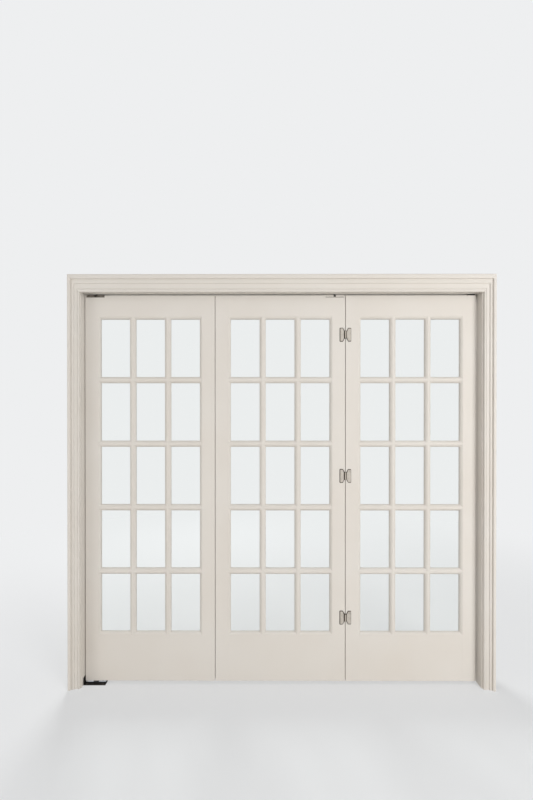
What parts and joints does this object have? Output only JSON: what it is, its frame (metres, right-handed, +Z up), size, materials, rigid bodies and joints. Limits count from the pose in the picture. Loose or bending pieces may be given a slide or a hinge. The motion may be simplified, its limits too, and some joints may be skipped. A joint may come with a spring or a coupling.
{
  "type": "folding french doors with frame",
  "caption": "Folding glazed french doors in a cased frame: a pivoting pair guided in an overhead track and a hinged free leaf, divided panes, butterfly hinges.",
  "frame": {"origin": "on the floor, under the middle of the frame's width and depth", "axes": "+X to the right seen from the front, front faces -Y, +Z up"},
  "size_m": [2.198, 0.164, 2.137],
  "materials": {
    "painted_wood": "semi-gloss paint",
    "clear_glass": "clear float",
    "dowel_wood": "plain",
    "satin_nickel": "satin",
    "bright_zinc": "zinc plated",
    "dark_steel": "black",
    "painted_steel": "semi-gloss paint",
    "track_aluminium": "semi-gloss enamel",
    "black_plastic": "moulded",
    "white_nylon": "moulded"
  },
  "bodies": {
    "frame": {"jamb_left": "painted_wood", "jamb_right": "painted_wood", "head_jamb": "painted_wood", "casing_front_left": "painted_wood", "casing_front_right": "painted_wood", "casing_front_head": "painted_wood", "casing_back_left": "painted_wood", "casing_back_right": "painted_wood", "casing_back_head": "painted_wood", "top_track": "track_aluminium", "track_screws": "bright_zinc", "top_pivot_socket": "white_nylon", "catch_magnet": "black_plastic", "catch_screws": "bright_zinc", "floor_plate": "dark_steel", "floor_plate_screws": "dark_steel", "pivot_channel": "bright_zinc", "bottom_pivot_socket": "black_plastic"},
    "leaf_1": {"leaf_1_stile_left": "painted_wood", "leaf_1_stile_right": "painted_wood", "leaf_1_top_rail": "painted_wood", "leaf_1_bottom_rail": "painted_wood", "leaf_1_glazing_bars": "painted_wood", "leaf_1_glass_panes": "clear_glass", "leaf_1_glazing_beads": "painted_wood", "leaf_1_rail_dowels": "dowel_wood", "leaf_1_screws": "satin_nickel", "hinge_12_wings_leaf_1": "satin_nickel", "top_pivot_plate": "dark_steel", "top_pivot_pin": "dark_steel", "bottom_pivot_plate": "bright_zinc", "bottom_pivot_pin": "bright_zinc"},
    "leaf_2": {"leaf_2_stile_left": "painted_wood", "leaf_2_stile_right": "painted_wood", "leaf_2_top_rail": "painted_wood", "leaf_2_bottom_rail": "painted_wood", "leaf_2_glazing_bars": "painted_wood", "leaf_2_glass_panes": "clear_glass", "leaf_2_glazing_beads": "painted_wood", "leaf_2_rail_dowels": "dowel_wood", "leaf_2_screws": "satin_nickel", "hinge_12_wings_leaf_2": "satin_nickel", "hinge_12_pins": "satin_nickel", "hinge_23_wings_leaf_2": "satin_nickel", "hinge_23_pins": "satin_nickel", "guide_plate": "painted_steel", "guide_pin": "dark_steel"},
    "leaf_3": {"leaf_3_stile_left": "painted_wood", "leaf_3_stile_right": "painted_wood", "leaf_3_top_rail": "painted_wood", "leaf_3_bottom_rail": "painted_wood", "leaf_3_glazing_bars": "painted_wood", "leaf_3_glass_panes": "clear_glass", "leaf_3_glazing_beads": "painted_wood", "leaf_3_rail_dowels": "dowel_wood", "leaf_3_screws": "satin_nickel", "hinge_23_wings_leaf_3": "satin_nickel", "catch_plate": "bright_zinc"},
    "guide_wheel": {"guide_wheel": "white_nylon"}
  },
  "joints": [
    {"name": "leaf_1_pivot", "type": "hinge", "parent": "frame", "child": "leaf_1", "pos_m": [-0.977, 0, 0], "axis": [0, 0, -1], "range_deg": [0, 90]},
    {"name": "leaf_2_fold", "type": "hinge", "parent": "leaf_1", "child": "leaf_2", "pos_m": [-0.3475, 0.022, 0], "axis": [0, 0, 1], "range_deg": [0, 180]},
    {"name": "leaf_3_swing", "type": "hinge", "parent": "leaf_2", "child": "leaf_3", "pos_m": [0.3385, -0.022, 0], "axis": [0, 0, -1], "range_deg": [0, 180]},
    {"name": "guide_wheel_spin", "type": "hinge", "parent": "leaf_2", "child": "guide_wheel", "pos_m": [0.282, 0, 0], "axis": [0, 0, 1], "continuous": true}
  ],
  "couplings": [
    {"joint": "leaf_2_fold", "follows": "leaf_1_pivot", "ratio": 2}
  ]
}
